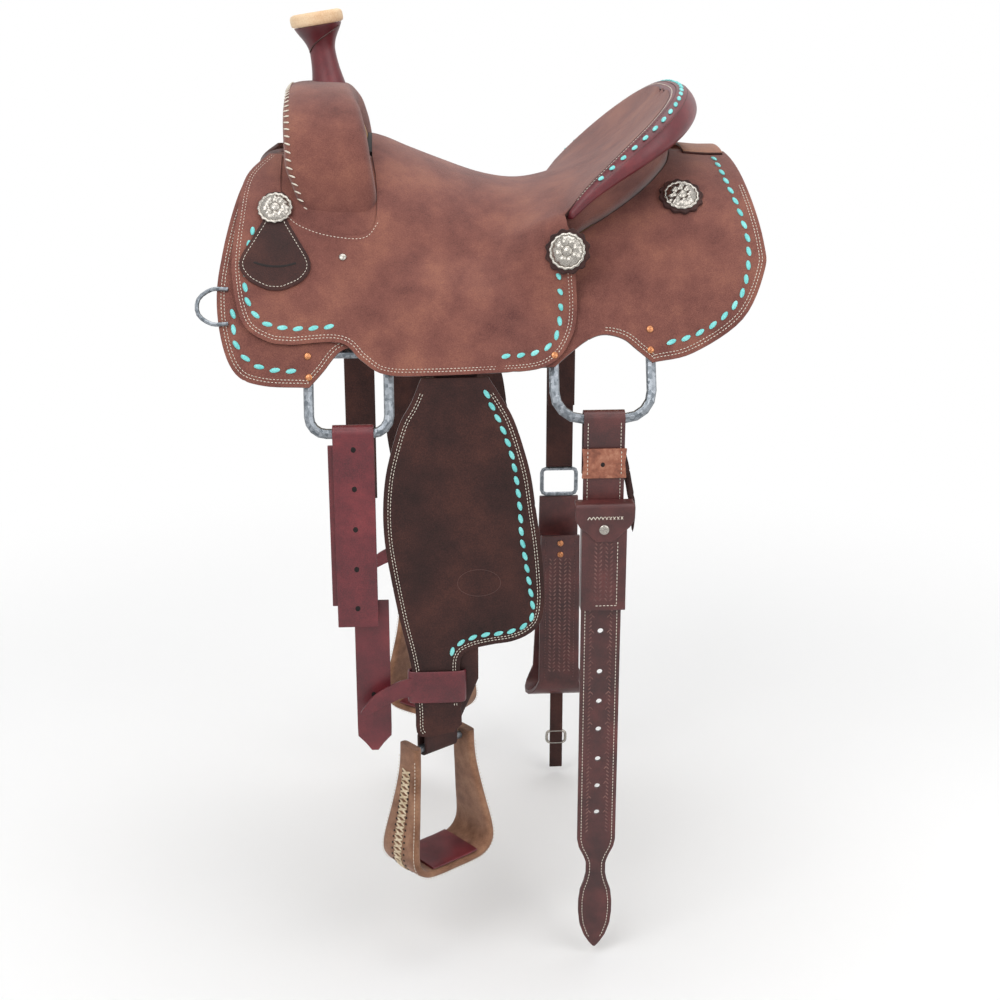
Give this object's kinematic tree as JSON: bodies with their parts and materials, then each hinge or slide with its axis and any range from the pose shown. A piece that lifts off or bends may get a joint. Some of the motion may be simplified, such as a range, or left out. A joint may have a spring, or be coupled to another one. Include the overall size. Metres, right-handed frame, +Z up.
{
  "type": "western roping saddle",
  "caption": "Western roping saddle with swell fork, horn, raised cantle, hinged fenders, swinging stirrups and hanging straps.",
  "frame": {"origin": "on the centreline at mid length, at the height where the rack carries the saddle", "axes": "+X to the tail, +Y to the off side, +Z up"},
  "size_m": [0.6696, 0.587, 1.1688],
  "materials": {
    "roughout": "brown roughout leather",
    "dark_roughout": "dark oiled roughout leather",
    "burgundy": "smooth burgundy leather",
    "wood": "rawhide-covered wood",
    "fleece": "pale fleece",
    "galvanised": "galvanised steel",
    "silver": "engraved silver",
    "suede": "tan suede",
    "pale_leather": "pale skirting leather",
    "dark_trim": "near-black leather"
  },
  "bodies": {
    "saddle": {"tree_fork": "wood", "cantle_board": "wood", "ground_seat": "pale_leather", "seat_leather": "roughout", "seat_front_trim": "dark_trim", "swell_cover": "roughout", "cantle_back": "roughout", "cantle_binding": "burgundy", "skirt_connector": "burgundy", "horn_wrap": "burgundy", "horn_cap": "pale_leather", "tree_bar_near": "wood", "fleece_near": "fleece", "skirt_near": "roughout", "front_ring_near": "galvanised", "rear_ring_near": "galvanised", "rope_strap_keeper_near": "dark_roughout", "concho_front_near": "silver", "concho_seat_near": "silver", "concho_rear_near": "silver", "rosette_seat_near": "dark_roughout", "rosette_rear_near": "dark_roughout", "stirrup_strap_near": "dark_roughout", "tree_bar_off": "wood", "fleece_off": "fleece", "skirt_off": "roughout", "front_ring_off": "galvanised", "rear_ring_off": "galvanised", "rope_strap_keeper_off": "dark_roughout", "concho_front_off": "silver", "concho_seat_off": "silver", "concho_rear_off": "silver", "rosette_seat_off": "dark_roughout", "rosette_rear_off": "dark_roughout", "stirrup_strap_off": "dark_roughout"},
    "breast_dee_near": {"breast_dee_near": "galvanised"},
    "fender_near": {"fender_near": "dark_roughout", "stirrup_leather_near": "dark_roughout", "hobble_strap_near": "burgundy"},
    "stirrup_near": {"stirrup_near": "suede", "stirrup_tread_near": "burgundy", "stirrup_bolt_near": "galvanised"},
    "breast_dee_off": {"breast_dee_off": "galvanised"},
    "fender_off": {"fender_off": "dark_roughout", "stirrup_leather_off": "dark_roughout", "hobble_strap_off": "burgundy"},
    "stirrup_off": {"stirrup_off": "suede", "stirrup_tread_off": "burgundy", "stirrup_bolt_off": "galvanised"},
    "latigo_near": {"latigo_near": "burgundy"},
    "rear_billet_near": {"rear_billet_near": "burgundy", "billet_keeper": "suede", "pouch_body": "burgundy"},
    "pouch_flap": {"pouch_flap": "burgundy"},
    "front_billet_off": {"front_billet_off": "dark_roughout"},
    "rear_billet_off": {"rear_billet_off": "dark_roughout", "flank_buckle": "galvanised"},
    "flank_cinch": {"flank_cinch": "burgundy"},
    "connecting_strap": {"connecting_strap": "dark_roughout"}
  },
  "joints": [
    {"name": "dee_near_swing", "type": "hinge", "parent": "saddle", "child": "breast_dee_near", "pos_m": [-0.306, -0.21392, -0.06059], "axis": [0, 0.4565, 0.8897], "range_deg": [0, 70]},
    {"name": "dee_off_swing", "type": "hinge", "parent": "saddle", "child": "breast_dee_off", "pos_m": [-0.306, 0.21392, -0.06059], "axis": [0, 0.4565, -0.8897], "range_deg": [0, 70]},
    {"name": "fender_near_lift", "type": "hinge", "parent": "saddle", "child": "fender_near", "pos_m": [-0.046, -0.2525, -0.1395], "axis": [-1, 0, 0], "range_deg": [0, 90]},
    {"name": "fender_off_lift", "type": "hinge", "parent": "saddle", "child": "fender_off", "pos_m": [-0.046, 0.2525, -0.1395], "axis": [1, 0, 0], "range_deg": [0, 90]},
    {"name": "stirrup_near_swing", "type": "hinge", "parent": "fender_near", "child": "stirrup_near", "pos_m": [-0.072, -0.226, -0.617], "axis": [0.7986, 0.6018, 0], "range_deg": [-45, 45]},
    {"name": "stirrup_off_swing", "type": "hinge", "parent": "fender_off", "child": "stirrup_off", "pos_m": [-0.072, 0.226, -0.617], "axis": [0.7986, -0.6018, 0], "range_deg": [-45, 45]},
    {"name": "latigo_near_swing", "type": "hinge", "parent": "saddle", "child": "latigo_near", "pos_m": [-0.17, -0.24882, -0.20499], "axis": [-1, 0, 0], "range_deg": [0, 80]},
    {"name": "rear_billet_near_swing", "type": "hinge", "parent": "saddle", "child": "rear_billet_near", "pos_m": [0.128, -0.24618, -0.19246], "axis": [-1, 0, 0], "range_deg": [0, 80]},
    {"name": "pouch_flap_open", "type": "hinge", "parent": "rear_billet_near", "child": "pouch_flap", "pos_m": [0.128, -0.25708, -0.2884], "axis": [-1, 0, 0], "range_deg": [0, 85]},
    {"name": "front_billet_off_swing", "type": "hinge", "parent": "saddle", "child": "front_billet_off", "pos_m": [-0.17, 0.24882, -0.20499], "axis": [1, 0, 0], "range_deg": [0, 80]},
    {"name": "rear_billet_off_swing", "type": "hinge", "parent": "saddle", "child": "rear_billet_off", "pos_m": [0.128, 0.24618, -0.19246], "axis": [1, 0, 0], "range_deg": [0, 80]},
    {"name": "flank_cinch_swing", "type": "hinge", "parent": "rear_billet_off", "child": "flank_cinch", "pos_m": [0.128, 0.25448, -0.4433], "axis": [1, 0, 0], "range_deg": [0, 80]},
    {"name": "connecting_strap_swing", "type": "hinge", "parent": "flank_cinch", "child": "connecting_strap", "pos_m": [0.128, 0.25348, -0.7753], "axis": [1, 0, 0], "range_deg": [0, 80]}
  ]
}
